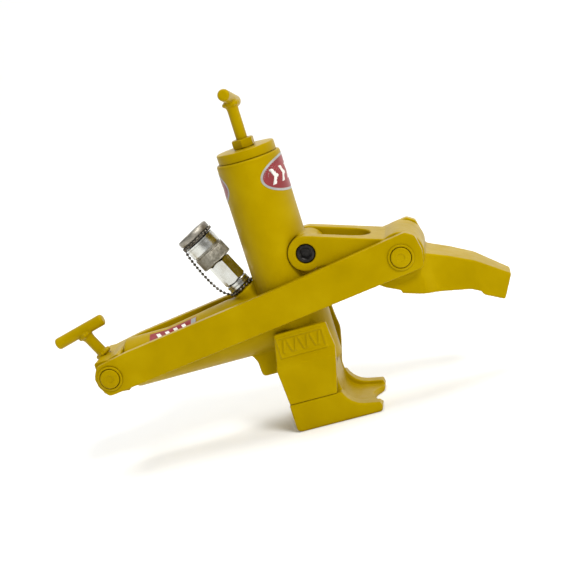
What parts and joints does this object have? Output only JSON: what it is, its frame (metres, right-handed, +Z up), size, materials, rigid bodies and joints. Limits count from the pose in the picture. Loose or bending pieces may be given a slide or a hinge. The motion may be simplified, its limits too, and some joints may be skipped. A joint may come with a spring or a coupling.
{
  "type": "hydraulic tyre bead breaker",
  "caption": "Hand-placed hydraulic bead breaker: barrel with a channelled push foot, side clamp ram, twin links and a hooked claw arm.",
  "frame": {"origin": "underside of the foot, under the barrel's axis", "axes": "+X from the clamp ram towards the claw, +Z up the barrel, Y across the links"},
  "size_m": [0.4749, 0.093, 0.3517],
  "materials": {
    "yellow_casting": "glossy yellow enamel over slightly rough cast steel",
    "yellow_plate": "glossy yellow enamel over rolled plate",
    "yellow_handle": "glossy yellow enamel over turned bar",
    "black_screw": "black oxide",
    "plated_steel": "zinc plated, turned and knurled",
    "chain_metal": "nickel plated ball chain",
    "machined_steel": "ground",
    "spring_wire": "oil tempered wire",
    "bush_bronze": "sintered bronze",
    "seal_rubber": "matt nitrile",
    "printed_label": null
  },
  "bodies": {
    "body": {"body_casting": "yellow_casting", "barrel_cap": "yellow_casting", "handle_lock_nut": "yellow_casting", "ram_gland": "machined_steel", "ram_seal": "seal_rubber", "clamp_gland": "machined_steel", "clamp_rod_wiper": "seal_rubber", "port_adapter": "plated_steel", "coupler_body": "plated_steel", "pivot_bush": "bush_bronze", "chain_loop_port": "chain_metal", "ball_chain": "chain_metal", "foot_spring": "spring_wire", "clamp_spring": "spring_wire"},
    "collar": {"coupler_collar": "plated_steel"},
    "dust_cap": {"dust_cap": "plated_steel", "chain_loop_cap": "chain_metal"},
    "top_handle": {"top_handle_stem": "yellow_handle", "top_handle_bar": "yellow_handle"},
    "claw": {"claw_arm": "yellow_casting", "pivot_screw": "black_screw", "claw_pin": "yellow_handle", "claw_pin_ring_near": "yellow_handle", "claw_pin_ring_far": "yellow_handle"},
    "links": {"side_link_near": "yellow_plate", "side_link_far": "yellow_plate"},
    "clamp": {"crosshead": "yellow_casting", "clamp_rod": "machined_steel", "clamp_piston": "machined_steel", "clamp_piston_seal": "seal_rubber", "rear_handle_stem": "yellow_handle", "rear_handle_bar": "yellow_handle", "crosshead_pin_near": "yellow_handle", "crosshead_pin_far": "yellow_handle", "crosshead_pin_ring_near": "yellow_handle", "crosshead_pin_ring_far": "yellow_handle"},
    "foot": {"foot_block": "yellow_casting", "foot_cheek_near": "yellow_casting", "foot_cheek_far": "yellow_casting", "foot_ram": "machined_steel", "foot_pin": "machined_steel", "pull_rod": "machined_steel", "spring_plate": "machined_steel", "pull_rod_nut": "plated_steel"}
  },
  "joints": [
    {"name": "claw_swing", "type": "hinge", "parent": "body", "child": "claw", "pos_m": [0.0316, 0, 0.1738], "axis": [0, 1, 0], "range_deg": [0, 25]},
    {"name": "link_swing", "type": "hinge", "parent": "claw", "child": "links", "pos_m": [0.1221, 0, 0.1471], "axis": [0, 1, 0], "range_deg": [-18.5, 0]},
    {"name": "clamp_slide", "type": "slide", "parent": "body", "child": "clamp", "axis": [-1, 0, 0], "range_m": [0, 0.0217], "stiffness_N_per_m": 3000, "springref_m": -0.025, "deforming": ["clamp_spring"]},
    {"name": "foot_slide", "type": "slide", "parent": "body", "child": "foot", "axis": [0, 0, -1], "range_m": [0, 0.0451], "stiffness_N_per_m": 1500, "springref_m": -0.03, "deforming": ["foot_spring"]},
    {"name": "top_handle_turn", "type": "hinge", "parent": "body", "child": "top_handle", "pos_m": [0, 0, 0.279], "axis": [0, 0, 1], "range_deg": [-180, 180]},
    {"name": "collar_turn", "type": "hinge", "parent": "body", "child": "collar", "pos_m": [-0.0469, 0, 0.1546], "axis": [-0.4352, 0, 0.9003], "continuous": true},
    {"name": "dust_cap_pull", "type": "slide", "parent": "body", "child": "dust_cap", "axis": [-0.4352, 0, 0.9003], "range_m": [0, 0.014]}
  ],
  "couplings": [
    {"joint": "link_swing", "follows": "claw_swing", "ratio": -0.7375},
    {"joint": "clamp_slide", "follows": "claw_swing", "m_per_rad": 0.04956},
    {"joint": "foot_slide", "follows": "claw_swing", "m_per_rad": 0.10314}
  ]
}
